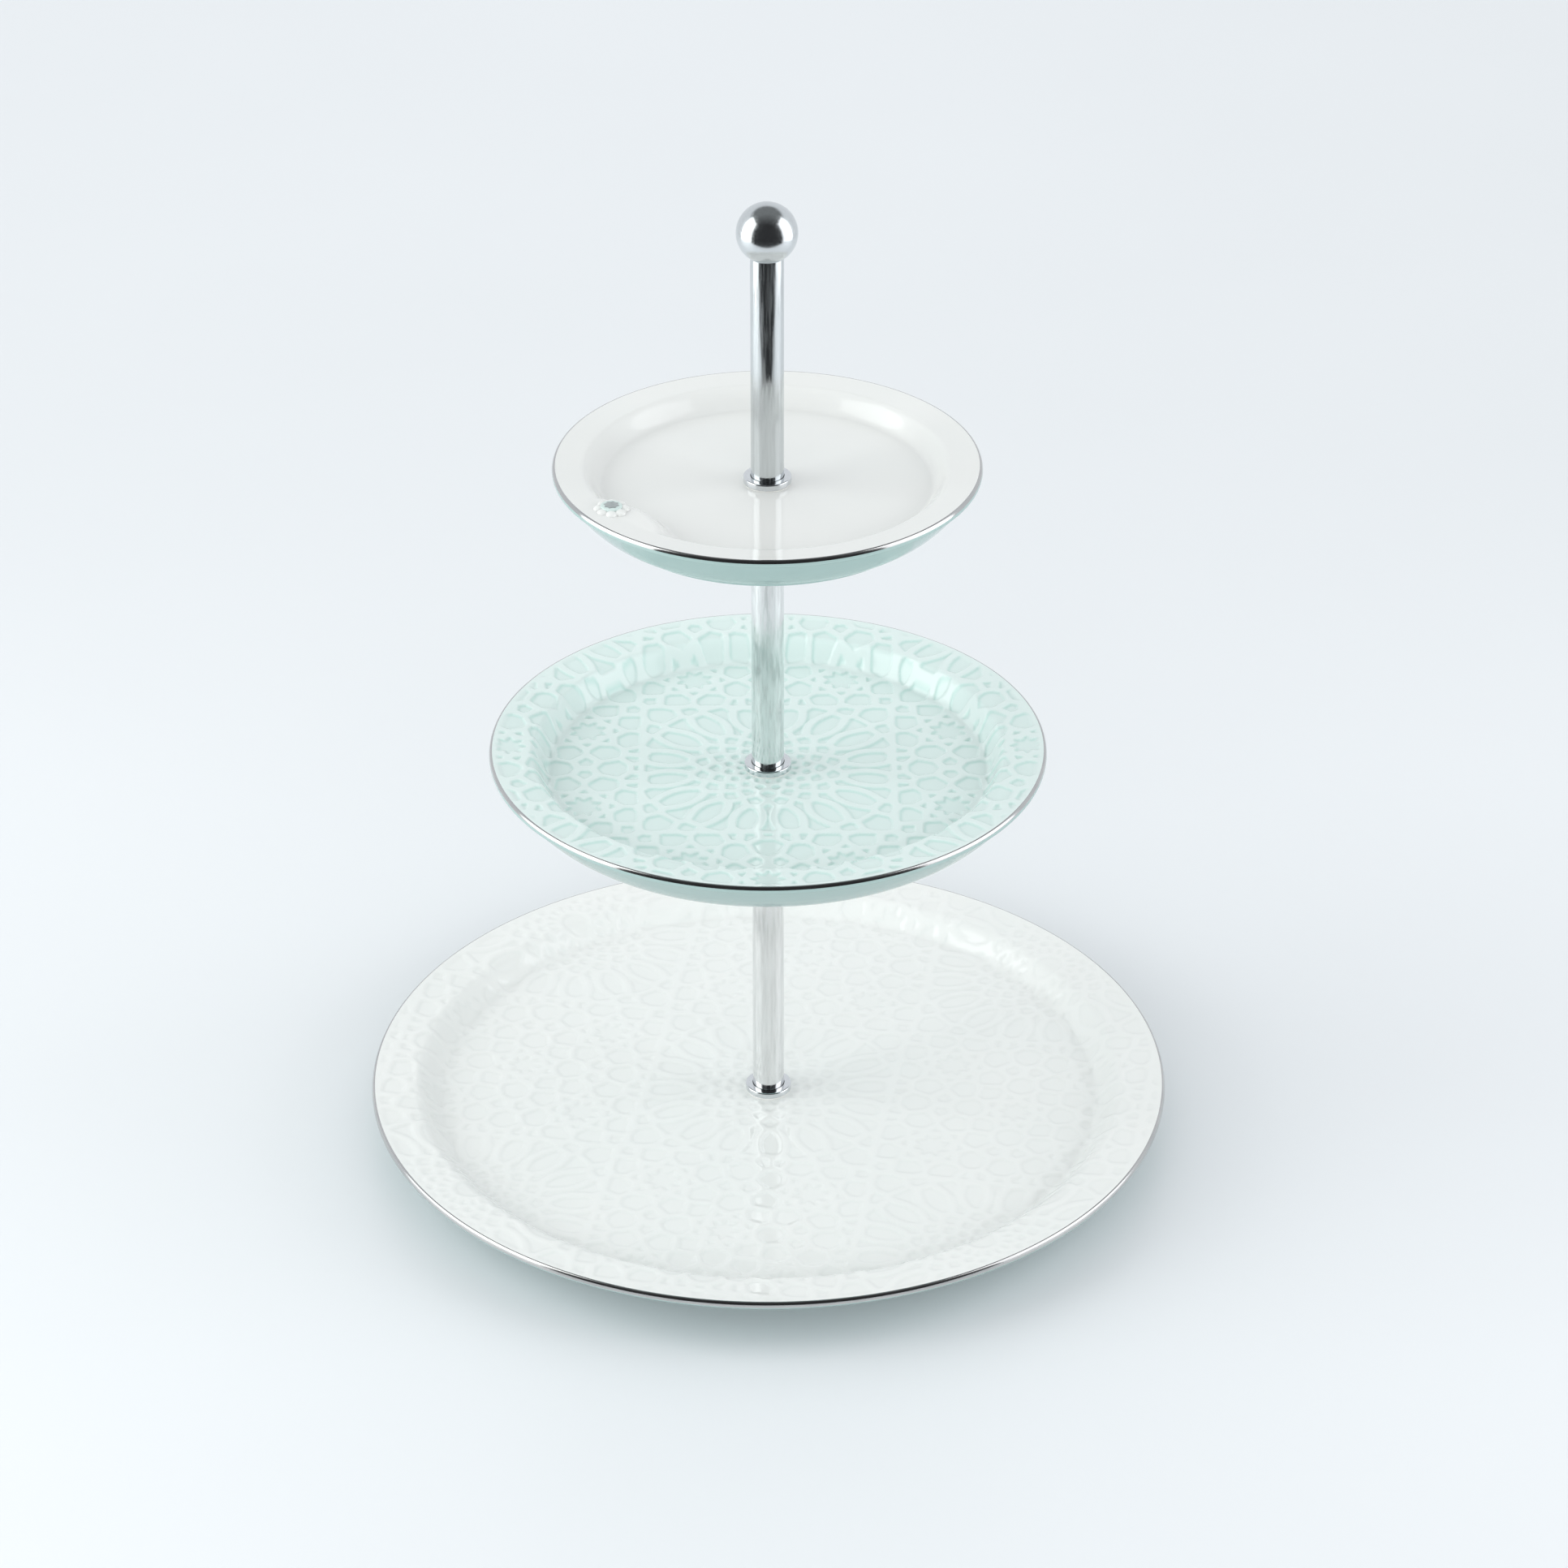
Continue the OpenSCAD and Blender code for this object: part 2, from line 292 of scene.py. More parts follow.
def chrome(name, tone, worn, smooth, rough, scale=1400, drawn_out=1.0, depth=0.0000035):
    """Chrome plate in tone, darkened to worn times tone between its fine marks. Its roughness goes
    from smooth to rough, the marks are depth deep, and drawn_out under 1 stretches them up the
    post, as brushing does."""
    material, tree, shader = new_material(name)
    shader.inputs["Metallic"].default_value = 1
    marks = noise_node(tree, scale, 3, (1, 1, drawn_out))
    link_ramp(tree, marks, shader.inputs["Base Color"],
              [(0.36, tuple(worn * c for c in tone)), (0.62, tone)])
    link_range(tree, marks, shader.inputs["Roughness"], smooth, rough, 0.4, 0.62)
    link_bump(tree, marks, shader, depth)
    return material


def satin_silver():
    """Silver painted on the floret's star."""
    material, tree, shader = new_material("satin_silver")
    shader.inputs["Metallic"].default_value = 0.6
    link_ramp(tree, noise_node(tree, 500, 3), shader.inputs["Base Color"],
              [(0.35, (0.42, 0.46, 0.46)), (0.65, (0.49, 0.53, 0.53))])
    link_range(tree, noise_node(tree, 900, 2), shader.inputs["Roughness"], 0.3, 0.42)
    return material


def zinc_steel():
    material, tree, shader = new_material("zinc_steel")
    shader.inputs["Metallic"].default_value = 1
    link_ramp(tree, noise_node(tree, 90, 4), shader.inputs["Base Color"],
              [(0.35, (0.50, 0.51, 0.53)), (0.65, (0.64, 0.64, 0.65))])
    link_range(tree, noise_node(tree, 600, 3), shader.inputs["Roughness"], 0.22, 0.38)
    link_bump(tree, noise_node(tree, 900, 3), shader, 0.00002, 0.4)
    return material


def silicone():
    material, tree, shader = new_material("silicone")
    link_ramp(tree, noise_node(tree, 120, 3), shader.inputs["Base Color"],
              [(0.35, (0.74, 0.74, 0.71)), (0.65, (0.82, 0.82, 0.80))])
    link_range(tree, noise_node(tree, 700, 3), shader.inputs["Roughness"], 0.45, 0.6)
    link_bump(tree, noise_node(tree, 1800, 3), shader, 0.00002, 0.5)
    return material


# ---------------------------------------------------------------- relief pattern of stars and cells
# Lengths in this part are millimetres in plan, because the pattern is drawn at that scale.

TILE = 96.2                # half the side of the pattern's square repeat
SMALL_STAR = (68.0, 28.2)  # centre of an eight-fold rosette
CORNER_STAR = (TILE, 0.0)  # centre of the star at the corner of the repeat
FRAME_LINE = 47.0          # the straight strap round the sixteen-fold rosette
HALF_STRAP = 1.05          # half the width of a strap
ROUNDING = 4.2             # higher keeps the cells' corners sharper
STEP = 0.6                 # between the points that draw a long cell
FAR = 30                   # a distance that never matters
BEYOND = 20                # how far past the folded triangle's sides a cell can still matter
# the two eight-pointed stars: centre, first point in degrees, radius of points and of notches
STARS = ((SMALL_STAR, 22.5, 8.3, 5.0), (CORNER_STAR, 0, 7.4, 4.4))


def polar(centre, radius, degrees):
    a = math.radians(degrees)
    return centre[0] + radius * math.cos(a), centre[1] + radius * math.sin(a)


def pattern_cells():
    """The cells between the straps, as (points, powers, inset) of a power diagram."""
    post = (0.0, 0.0)
    cells = []

    def cell(point, size, inset=HALF_STRAP):
        cells.append(([point], [size * size], inset))

    # sixteen petals round the post, the gaps between them and the small diamonds inside
    petal_r = np.arange(30.6, 46.7, STEP)
    for angle in (11.25, 33.75):
        apart = petal_r * 2 * math.sin(math.radians(11.25 / 2))
        width = 1.0 + 4.4 * np.sin(math.pi * (petal_r - 30) / 17) ** 0.8
        cells.append(([polar(post, r, angle) for r in petal_r],
                      list(2 * apart * width - apart ** 2), HALF_STRAP))
        cell(polar(post, 24.6, angle), 2.9, 1.25)
        cell(polar(post, 14.4, angle), 1.9, 1.0)
    gap_r = np.arange(28.6, 48.7, STEP)
    for angle in (0, 22.5, 45):
        cells.append(([polar(post, r, angle) for r in gap_r], [0.0] * len(gap_r), 1.1))
        cell(polar(post, 19.3, angle), 2.4, 1.1)
        cell(polar(post, 10.5, angle), 1.2, 1.0)
    cell(post, 6)
    # eight-fold rosette
    cell(SMALL_STAR, 8.0)
    for k in range(8):
        cell(polar(SMALL_STAR, 10.2, 45 * k), 2.4, 1.6)
        cell(polar(SMALL_STAR, 17.4, 22.5 + 45 * k), 5.6)
    # where two rosettes meet, and along the frame line
    for point, size, inset in (((57.2, 0), 5.6, HALF_STRAP), ((78.8, 0), 5.6, HALF_STRAP),
                               ((40.5, 40.5), 5.8, HALF_STRAP), ((68, 5.8), 3.3, 1.9),
                               ((TILE / 2 + 4.1, TILE / 2 - 4.1), 3.3, 1.9),
                               ((49.7, 6.6), 2.3, 1.5), ((48.9, 13.0), 1.9, 1.5),
                               ((44.6, 30.6), 2.2, 1.4)):
        cell(point, size, inset)
    # round the star at the corner of the repeat
    cell(CORNER_STAR, 7.0)
    for k in range(8):
        cell(polar(CORNER_STAR, 9.8, 22.5 + 45 * k), 2.2, 1.6)
    cell(polar(CORNER_STAR, 15.8, 135), 5.0)
    return cells


def pattern_seeds():
    """Every image of the cells in and close round one fold of the pattern."""
    rows, seen, number = [], set(), 0
    images = [(sx, sy, swap, image) for sx in (1, -1) for sy in (1, -1)
              for swap in (False, True) for image in range(3)]
    for points, powers, inset in pattern_cells():
        for sx, sy, swap, image in images:
            number += 1
            for (x, y), power in zip(points, powers):
                a, b = sx * x, sy * y
                if swap:
                    a, b = b, a
                a, b = ((a, b), (TILE - b, TILE - a), (TILE + b, a - TILE))[image]
                key = (round(a, 2), round(b, 2))
                if key not in seen and b > -14 and a - b > -BEYOND and a + b < TILE + BEYOND:
                    seen.add(key)
                    rows.append((a, b, power, inset, number))
    return np.array(rows)


def folded(x, y):
    """Folds the plane into the one triangle that the whole pattern repeats."""
    p, q = (x + y) / (2 * TILE), (x - y) / (2 * TILE)
    p, q = p - np.round(p), q - np.round(q)
    x, y = np.abs(TILE * (p + q)), np.abs(TILE * (p - q))
    return np.maximum(x, y), np.minimum(x, y)


def depth_in_star(x, y, first_point, point_r, notch_r):
    """Distance in from the edge of an eight-pointed star round the origin, negative outside it.
    first_point is in degrees, point_r and notch_r are the radii of its points and notches."""
    away, eighth = np.hypot(x, y), math.radians(45)
    turn = np.arctan2(y, x) - math.radians(first_point)
    turn = np.abs((turn + eighth / 2) % eighth - eighth / 2)
    edge = np.array([notch_r * math.cos(eighth / 2) - point_r, notch_r * math.sin(eighth / 2)])
    out = np.array([edge[1], -edge[0]]) / np.linalg.norm(edge)
    return (point_r - away * np.cos(turn)) * out[0] - away * np.sin(turn) * out[1]


def depth_in_cell(x, y):
    """Distance in millimetres from each point to its cell's edge, negative on a strap."""
    x, y = folded(x, y)
    seeds = pattern_seeds()
    place, power, inset, number = seeds[:, :2], seeds[:, 2], seeds[:, 3], seeds[:, 4]
    apart = np.hypot(*(place[:, None] - place[None]).transpose(2, 0, 1))
    same = number[:, None] == number[None]
    depth = np.zeros(len(x))
    block = 8000  # points worked on at once, to keep the arrays small
    for s in range(0, len(x), block):
        points = np.stack([x[s:s + block], y[s:s + block]], 1)
        reach = ((points[:, None] - place[None]) ** 2).sum(2) - power
        own = reach.argmin(1)
        nearest = reach[np.arange(len(own)), own]
        edge = (reach - nearest[:, None]) / (2 * np.maximum(apart[own], 1e-6)) - inset[own][:, None]
        edge[same[own]] = FAR
        line = np.where(points[:, 1] < FRAME_LINE + 1, np.abs(points[:, 0] - FRAME_LINE), FAR)
        total = np.exp(-ROUNDING * np.clip(edge, -3, FAR)).sum(1)
        total += np.exp(-ROUNDING * (line - HALF_STRAP))
        depth[s:s + block] = -np.log(total) / ROUNDING
    for centre, first_point, point_r, notch_r in STARS:
        star = depth_in_star(x - centre[0], y - centre[1], first_point, point_r, notch_r)
        near = np.hypot(x - centre[0], y - centre[1]) < point_r + 0.5
        depth = np.where(near, np.minimum(depth, star), depth)
    return depth


# ---------------------------------------------------------------- meshes of revolution

def smoothstep(t):
    t = np.clip(t, 0, 1)
    return t * t * (3 - 2 * t)


def zip_rings(first, second):
    """Triangles between two rings of vertices, given as (start index, count)."""
    (i0, n), (j0, m) = first, second
    if n == 1 and m == 1:
        return np.zeros((0, 3), int)
    if n == 1 or m == 1:
        hub, (start, count) = (i0, second) if n == 1 else (j0, first)
        k = np.arange(count)
        fan = np.stack([np.full(count, hub), start + k, start + (k + 1) % count], 1)
        return fan if n == 1 else fan[:, ::-1]
    mid_a, mid_b = (np.arange(n) + 0.5) / n, (np.arange(m) + 0.5) / m
    a, b = np.arange(n), np.arange(m)
    over = np.searchsorted(mid_b, mid_a, "left") % m
    under = np.searchsorted(mid_a, mid_b, "right") % n
    lower = np.stack([i0 + a, j0 + over, i0 + (a + 1) % n], 1)
    upper = np.stack([i0 + under, j0 + b, j0 + (b + 1) % m], 1)
    return np.concatenate([lower, upper])


def turned(name, outline, materials, spacing=None, fixed=None):
    """Closed surface of revolution round the post. The outline goes round the section clockwise,
    and a point (radius, height) may hold a material number as its third value, for the surface
    from it to the next point. spacing is the length between vertices along a ring, coarser under
    materials 2 and 3, or fixed is their number on every ring."""
    marks = [p[2] if len(p) > 2 else 0 for p in outline]
    counts = [1 if p[0] < 1e-6 else
              fixed or max(24, round(TAU * p[0] / (spacing if mark < 2 else 2 * MM)))
              for p, mark in zip(outline, marks)]
    starts = np.concatenate([[0], np.cumsum(counts)[:-1]])
    verts = []
    for (r, z, *_), n in zip(outline, counts):
        a = TAU * np.arange(n) / n
        verts.append(np.stack([r * np.cos(a), r * np.sin(a), np.full(n, z)], 1))
    rings = list(zip(starts.tolist(), counts))
    faces = [zip_rings(a, b) for a, b in zip(rings, rings[1:] + rings[:1])]
    index = np.concatenate([np.full(len(f), m) for f, m in zip(faces, marks)])
    return make_piece(name, np.concatenate(verts), np.concatenate(faces), materials, index)


def make_piece(name, verts, faces, materials, index=None, smooth=True):
    """New object from arrays; index holds each face's material number."""
    mesh = bpy.data.meshes.new(name)
    mesh.from_pydata([tuple(v) for v in verts], [], [tuple(f) for f in faces.tolist()])
    for material in materials:
        mesh.materials.append(material)
    if index is not None:
        mesh.polygons.foreach_set("material_index", index.astype(np.int32))
    mesh.polygons.foreach_set("use_smooth", np.full(len(mesh.polygons), smooth))
    mesh.update()
    piece = bpy.data.objects.new(name, mesh)
    bpy.context.scene.collection.objects.link(piece)
    return piece


def rounded(corners, radius, steps=4):
    """Outline through corners, each (r, z) or (r, z, own radius), with its corners rounded."""
    points = []
    for i, corner in enumerate(corners):
        own = corner[2] if len(corner) > 2 else radius
        here, before, after = (np.array(p[:2], float) for p in
                               (corner, corners[i - 1], corners[(i + 1) % len(corners)]))
        if not own:
            points.append(here.tolist())
            continue
        start = here + (before - here) / np.linalg.norm(before - here) * own
        end = here + (after - here) / np.linalg.norm(after - here) * own
        for t in np.linspace(0, 1, steps + 1):
            points.append(((1 - t) ** 2 * start + 2 * t * (1 - t) * here + t ** 2 * end).tolist())
    return points


def vertices(mesh):
    co = np.zeros(len(mesh.vertices) * 3)
    mesh.vertices.foreach_get("co", co)
    return co.reshape(-1, 3)


def stands_in(piece, node, body):
    """Puts the piece in place of its CAD node, on its body."""
    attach(piece, body)
    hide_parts(node)


# ---------------------------------------------------------------- plates

class Plate:
    """Sizes of a plate, read from its CAD node, and its own proportions in millimetres: the depth of
    the well, the widths of flange and wall and the radius of the foot ring. belly is the power of
    the bowl's curve below, and line_end how far down the lip the platinum goes, as an angle."""

    def __init__(self, node, well, flange, wall, foot_r, belly, line_end):
        low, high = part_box(node)
        self.node = node
        self.radius = high.x
        self.rim_z = high.z
        self.foot_z = low.z
        self.well_z = self.rim_z - well * MM
        self.flange_z = self.rim_z - 1.0 * MM
        self.wall_out = self.radius - flange * MM
        self.wall_in = self.wall_out - wall * MM
        self.foot_r = foot_r * MM
        self.belly = belly
        self.line_end = line_end
        self.hole_r = 4 * MM
        self.lip_w, self.lip_top, self.lip_low = 1 * MM, 2 * MM, 0.9 * MM
        self.floor_z = self.well_z - 4.8 * MM

    def top_height(self, r):
        """Height of the plate's upper face, without relief, up to the lip."""
        r = np.asarray(r, float)
        t = np.clip((r - self.wall_in) / (self.wall_out - self.wall_in), 0, 1)
        wall = self.well_z + (self.flange_z - self.well_z) * (1 - np.cos(math.pi * t)) / 2
        lip_in = self.radius - self.lip_w
        rise = np.clip((r - self.wall_out) / (lip_in - self.wall_out), 0, 1)
        return wall + (self.rim_z - self.flange_z) * rise

    def outline(self, step):
        """Closed section: up the hole, over the well, wall, flange and lip, and back below.
        Material 0 is the upper glaze, 1 the platinum line, 2 the lower glaze, darkened with painted
        shade, 3 bare body."""
        lip_in = self.radius - self.lip_w
        lip_z = self.rim_z - self.lip_top
        hole = [(self.hole_r, self.floor_z), (self.hole_r, self.well_z)]
        line_in = lip_in - 0.15 * MM
        top_r = np.linspace(self.hole_r, line_in, round((line_in - self.hole_r) / step))[1:]
        top = [(r, float(self.top_height(r)), 1 if r == line_in else 0) for r in top_r]
        lip = [(lip_in + self.lip_w * math.cos(a), lip_z + self.lip_top * math.sin(a),
                1 if a > self.line_end else 2) for a in np.linspace(math.pi / 2, 0, 20)]
        lip += [(self.radius - self.lip_low * (1 - math.cos(a)), lip_z + self.lip_low * math.sin(a), 2)
                for a in np.linspace(0, -math.pi / 2, 9)[1:]]
        belly_in, belly_out = self.foot_r + 1 * MM, self.radius - self.lip_low - 0.8 * MM
        belly_high, belly_low = lip_z - self.lip_low - 0.2 * MM, self.foot_z + 2.2 * MM
        belly = [(belly_in + (belly_out - belly_in) * t,
                  belly_high + (belly_low - belly_high) * (1 - t ** self.belly), 2)
                 for t in np.linspace(1, 0, 26)]
        foot_in = self.foot_r - 3 * MM
        foot = rounded([(belly_in, belly_low, 0),
                        (self.foot_r, self.foot_z + 1.2 * MM, 0.5 * MM),
                        (self.foot_r - 0.4 * MM, self.foot_z, 0.4 * MM),
                        (foot_in + 0.4 * MM, self.foot_z, 0.4 * MM),
                        (foot_in - 1.0 * MM, self.floor_z, 1.0 * MM),
                        (self.hole_r, self.floor_z, 0)], 0)[1:-1]
        foot = [(r, z, 3 if z < self.foot_z + 0.1 * MM else 2) for r, z in foot]
        under = [(r, self.floor_z, 2) for r in np.linspace(foot_in - 3 * MM, self.hole_r, 12)[:-1]]
        return hole + top + lip + belly + foot + under


def turned_back(x, y, angle):
    return (x * math.cos(angle) + y * math.sin(angle), y * math.cos(angle) - x * math.sin(angle))


def relief_at(plate, places, sunk, bold, soft=0.4, turn=0.0):
    """How far the relief sinks the glaze at places, in metres, and how strong the cells' darker tone is
    there, from 0 to 1. sunk is the cells' depth below the straps in millimetres, bold how much deeper
    they are on the wall, soft the width of their edges and turn the pattern's angle. A fifth of that
    tone is glaze pooled in every cell, the rest painted shade along each cell's back and left edges."""
    r = np.hypot(places[:, 0], places[:, 1])
    x, y = places[:, 0] / MM, places[:, 1] / MM
    shade_shift_x, shade_shift_y = 0.4, -0.75  # how far behind and to the left the painted shade looks for a cell's edge, in millimetres
    depth = depth_in_cell(*turned_back(x, y, turn))
    aside = depth_in_cell(*turned_back(x - shade_shift_x, y - shade_shift_y, turn))
    # the pattern fades out before the lip and round the collar
    keep = 1 - smoothstep((r - (plate.radius - 4.5 * MM)) / (2.5 * MM))
    keep *= smoothstep((r - 8.4 * MM) / (1.2 * MM))
    on_wall = smoothstep((r - plate.wall_in + 1 * MM) / (3 * MM))
    on_wall *= 1 - smoothstep((r - plate.wall_out) / (3 * MM))
    lowered = smoothstep((depth + soft / 2) / (soft + 0.5)) * keep
    # a fifth is glaze pooled over every cell, the rest painted shade along each cell's back and left
    # edges
    pool_and_side_shade = 0.2 + 0.8 * (1 - smoothstep((aside + 0.3) / 1.7))
    return sunk * (1 + bold * on_wall) * MM * lowered, pool_and_side_shade * smoothstep((depth + 0.15) / 0.6) * keep


def lobe_height(plate, places, centre, flat_r, foot_r):
    """Height of the widened spot in the flange: level with it to flat_r, down to the well at foot_r."""
    out = np.hypot(places[:, 0] - centre[0], places[:, 1] - centre[1])
    t = np.clip((out - flat_r) / (foot_r - flat_r), 0, 1)
    height = plate.well_z + (plate.flange_z - plate.well_z) * (1 + np.cos(math.pi * t)) / 2
    inside = np.hypot(places[:, 0], places[:, 1]) < plate.wall_out + 1 * MM
    return np.where(inside, height, -np.inf)


def plate_piece(plate, name, body, step, materials, relief=None, lobe=None):
    """Plate built ring by ring, step apart. relief and lobe hold what relief_at and lobe_height
    take after the places, by name."""
    piece = turned(name, plate.outline(step), materials, spacing=step)
    mesh = piece.data
    co = vertices(mesh)
    r = np.hypot(co[:, 0], co[:, 1])
    upper = (co[:, 2] > plate.top_height(r) - 0.01 * MM) & (r < plate.radius - plate.lip_w - 0.4 * MM)
    # the cells' darker tone: glaze pooled in them and painted shade along their back and left edges
    pool_and_shade = np.zeros(len(co))
    if relief:
        drop, pool_and_shade[upper] = relief_at(plate, co[upper], **relief)
        co[upper, 2] -= drop
    if lobe:
        co[upper, 2] = np.maximum(co[upper, 2], lobe_height(plate, co[upper], **lobe))
    mesh.vertices.foreach_set("co", co.ravel())
    mesh.update()
    mesh.attributes.new("pool_and_shade", "FLOAT", "POINT").data.foreach_set("value", pool_and_shade)
    stands_in(piece, plate.node, body)


# ---------------------------------------------------------------- floret

PETALS = 8
DISC_TOP = 2.0 * MM


def stacked(rings):
    """Vertices of all rings and the faces between each ring and the next."""
    sizes = [len(ring) for ring in rings]
    starts = np.concatenate([[0], np.cumsum(sizes)[:-1]]).tolist()
    hoops = list(zip(starts, sizes))
    return np.concatenate(rings), np.concatenate([zip_rings(p, q) for p, q in zip(hoops, hoops[1:])])


def floret_petals(place):
    """Plump petals run together over a hub that has a share of their height, on a flat base."""
    petal_at, petal_r, height = 4.5 * MM, 2.1 * MM, 1.6 * MM
    hub_share, hub_r, hub_edge = 0.8, 3.4 * MM, 1.3 * MM
    count, rings = 256, 26
    a = TAU * np.arange(count) / count
    off = (a + TAU / PETALS / 2) % (TAU / PETALS) - TAU / PETALS / 2
    edge = petal_at * np.cos(off) + np.sqrt(petal_r ** 2 - (petal_at * np.sin(off)) ** 2)
    hoops = [np.array([[0, 0, 1.25 * MM]])]
    for k in range(1, rings + 1):
        s = math.sin(math.pi / 2 * k / rings)
        px, py = edge * s * np.cos(a), edge * s * np.sin(a)
        swell = np.zeros(count)
        for n in range(PETALS):
            cx, cy = petal_at * math.cos(TAU * n / PETALS), petal_at * math.sin(TAU * n / PETALS)
            away = np.hypot(px - cx, py - cy) / petal_r
            swell = np.maximum(swell, np.sqrt(np.clip(1 - away ** 2, 0, 1)))
        hub = hub_share * (1 - smoothstep((edge * s - hub_r) / hub_edge))
        hoops.append(np.stack([px, py, height * np.maximum(swell, hub)], 1))
    hoops.append(np.array([[0, 0, 0]]))
    verts, faces = stacked(hoops)
    piece = make_piece("floret_petals_plump", verts + place, faces, [WHITE])
    stands_in(piece, "floret_petals", "top_plate")


def floret_disc(place):
    """Low round centre with a softened edge, set down among the petals."""
    foot = 1.0 * MM
    outline = rounded([(0, foot, 0), (0, DISC_TOP, 0), (3.95 * MM, DISC_TOP - 0.15 * MM, 0.5 * MM),
                       (3.8 * MM, foot, 0)], 0, 8)
    disc = turned("floret_disc", outline, [MINT_PLAIN], fixed=96)
    disc.data.vertices.foreach_set("co", (vertices(disc.data) + place).ravel())
    disc.data.update()
    stands_in(disc, "floret_boss", "top_plate")


def floret_star(place, angle):
    """Thin eight-pointed star on the disc, bevelled, with its first point towards angle. Its rings
    are a scale and a level above the disc in millimetres."""
    points, point_r, notch_r = 8, 2.9 * MM, 2.25 * MM
    hoops = []
    for scale, level in ((0, 0.1), (0.9, 0.12), (1, 0.02), (1, -0.1), (0, -0.1)):
        size = 2 * points if scale else 1
        b = angle + TAU * np.arange(size) / size
        reach = scale * np.where(np.arange(size) % 2 == 0, point_r, notch_r)
        hoops.append(np.stack([reach * np.cos(b), reach * np.sin(b),
                               np.full(size, DISC_TOP + level * MM)], 1))
    verts, faces = stacked(hoops)
    star = make_piece("floret_star", verts + place, faces, [SATIN], smooth=False)
    stands_in(star, "floret_boss", "top_plate")


# ---------------------------------------------------------------- post

def tube_piece(node, body, metal):
    """Tube with its cut ends lightly broken."""
    low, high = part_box(node)
    wall, broken = 1 * MM, 0.12 * MM
    inner, outer = high.x - wall, high.x
    section = [(inner, low.z), (inner, high.z), (outer, high.z), (outer, low.z)]
    piece = turned(node + "_bright", rounded(section, broken), [metal], fixed=128)
    stands_in(piece, node, body)


def collar_piece(node, body):
    """Flanged foot: a ring with a seat for the tube and a soft outer edge."""
    low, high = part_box(node)
    r, seat, bore = high.x, 6.15 * MM, 3.2 * MM
    seat_z = low.z + 0.8 * MM
    section = [(bore, low.z, 0), (bore, seat_z, 0), (seat, seat_z, 0), (seat, high.z, 0.1 * MM),
               (r, high.z, 0.6 * MM), (r, low.z, 0.35 * MM)]
    piece = turned(node + "_bright", rounded(section, 0, 6), [CHROME], fixed=160)
    stands_in(piece, node, body)


def ball_piece(node, body):
    """Ball with a flat foot and a blind bore up into it."""
    low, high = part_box(node)
    r = high.x
    centre = high.z - r
    bore, bore_end = 3.05 * MM, low.z + 11 * MM
    flat = math.asin((low.z - centre) / r)
    section = [(bore, low.z), (bore, bore_end), (0, bore_end), (0, high.z)]
    section += [(r * math.cos(e), centre + r * math.sin(e))
                for e in np.linspace(math.pi / 2, flat, 72)[1:]]
    piece = turned(node + "_satin", section, [BALL_CHROME], fixed=160)
    stands_in(piece, node, body)


add_camera()
add_lights()
add_world()
add_floor()
add_flag()

PLATINUM, BISCUIT, STEEL, SOFT = lustre(), biscuit(), zinc_steel(), silicone()
CHROME = chrome("polished_chrome", (0.75, 0.77, 0.79), 0.95, 0.04, 0.08)
BALL_CHROME = chrome("satin_chrome", (0.69, 0.72, 0.735), 0.94, 0.14, 0.24)
DRAWN = chrome("drawn_chrome", (0.68, 0.71, 0.72), 0.90, 0.11, 0.27,
               scale=1100, drawn_out=0.06, depth=0.00001)
BRUSHED = chrome("brushed_chrome", (0.86, 0.89, 0.885), 0.80, 0.06, 0.26,
                 scale=900, drawn_out=0.12, depth=0.000026)
PALE_DRAWN = chrome("pale_drawn_chrome", (0.86, 0.865, 0.87), 0.90, 0.07, 0.20,
                    scale=900, drawn_out=0.08, depth=0.000012)
SATIN = satin_silver()
# the second colour of each glaze is the cells' tone, from pooled glaze and painted shade
WHITE = glaze("white_glaze", (0.80, 0.81, 0.795), (0.765, 0.78, 0.765))
MINT = glaze("mint_glaze", (0.73, 0.825, 0.805), (0.56, 0.74, 0.70))
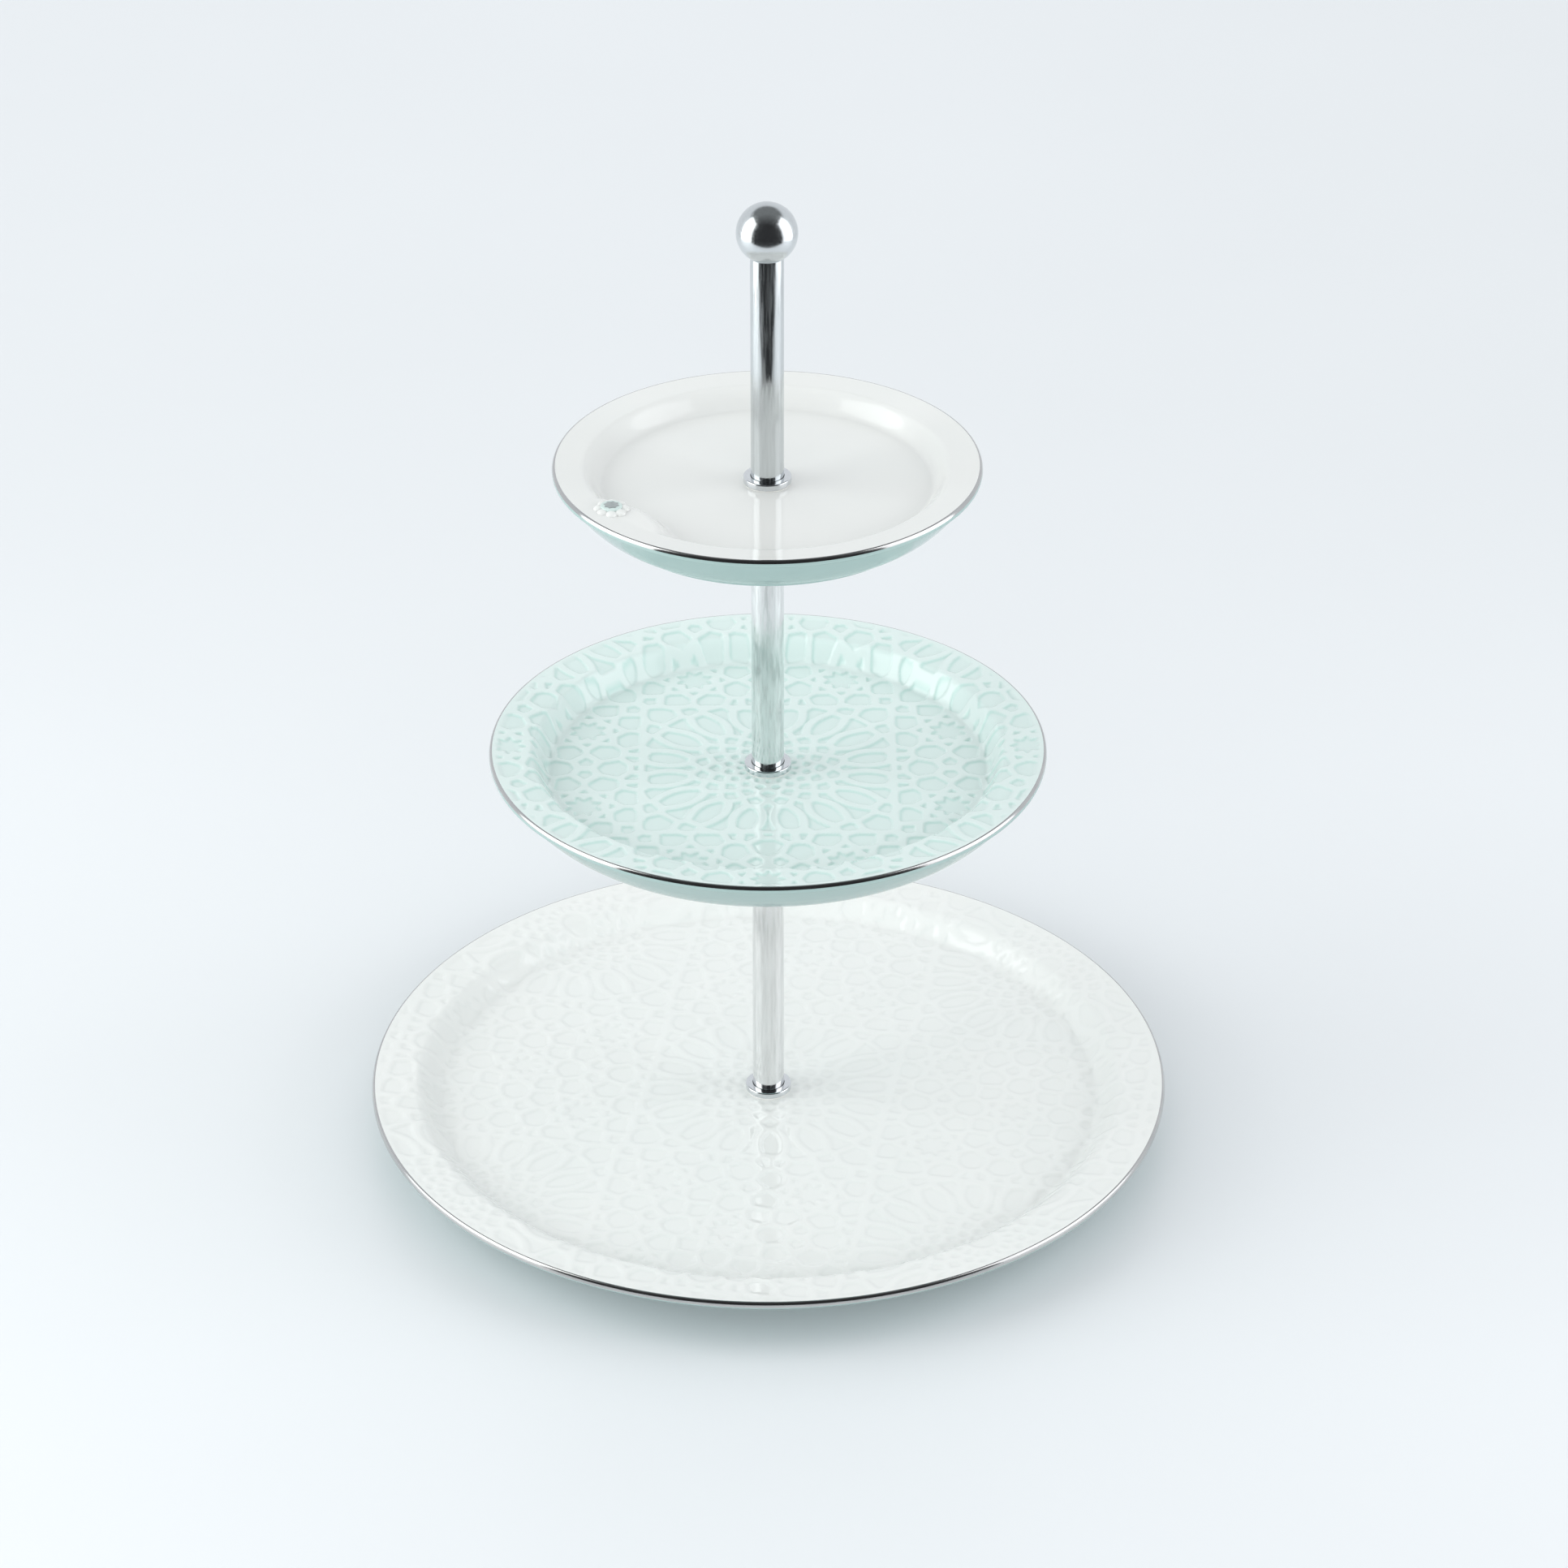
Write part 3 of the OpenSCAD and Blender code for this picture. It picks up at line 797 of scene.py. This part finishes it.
# darker copy of the mint glaze, with the undersides' shade painted into its colour
MINT_BELOW_SHADED = glaze("mint_glaze_below_shaded", (0.33, 0.445, 0.43), (0.305, 0.42, 0.405))
MINT_PLAIN = glaze("mint_glaze_pale", (0.63, 0.745, 0.72), (0.585, 0.705, 0.69))

glazes = [WHITE, PLATINUM, MINT_BELOW_SHADED, BISCUIT]
bottom = Plate("bottom_plate", well=8.3, flange=16, wall=11.5, foot_r=126, belly=1.05, line_end=0.08)
middle = Plate("middle_plate", well=10.3, flange=15.2, wall=7.4, foot_r=82.5, belly=1.65, line_end=0.42)
top = Plate("top_plate", well=8.1, flange=10.6, wall=8, foot_r=59.5, belly=1.65, line_end=0.48)
plate_piece(bottom, "bottom_plate_glazed", "base", 0.85 * MM, glazes,
            relief={"sunk": 0.34, "bold": 0.3, "soft": 1.1, "turn": math.radians(-10)})
plate_piece(middle, "middle_plate_glazed", "middle_plate", 0.58 * MM,
            [MINT] + glazes[1:], relief={"sunk": 0.55, "bold": 0.45})
plate_piece(top, "top_plate_glazed", "top_plate", 0.8 * MM, glazes,
            lobe={"centre": polar((0, 0), 88 * MM, 219), "flat_r": 29 * MM, "foot_r": 39 * MM})

floret_angle = 213
floret_at = np.array([*polar((0, 0), 65.8 * MM, floret_angle), top.flange_z])
floret_petals(floret_at)
floret_disc(floret_at)
floret_star(floret_at, math.radians(floret_angle))

for node, body, metal in (("lower_tube", "base", PALE_DRAWN), ("middle_tube", "middle_stem", BRUSHED),
                          ("upper_tube", "handle", DRAWN)):
    tube_piece(node, body, metal)
for node, body in (("lower_collar", "base"), ("middle_collar", "middle_stem"),
                   ("upper_collar", "handle")):
    collar_piece(node, body)
ball_piece("ball_finial", "handle")

looks = {"white_glaze": WHITE, "mint_glaze": MINT, "chrome": CHROME, "steel": STEEL,
         "soft_ring": SOFT}
for subpart in frame["record"]["subparts"]:
    piece = frame["nodes"][subpart["node"]]
    piece.data.materials.clear()
    piece.data.materials.append(looks[subpart["material_slot"]])

bpy.context.scene.view_settings.view_transform = "Standard"
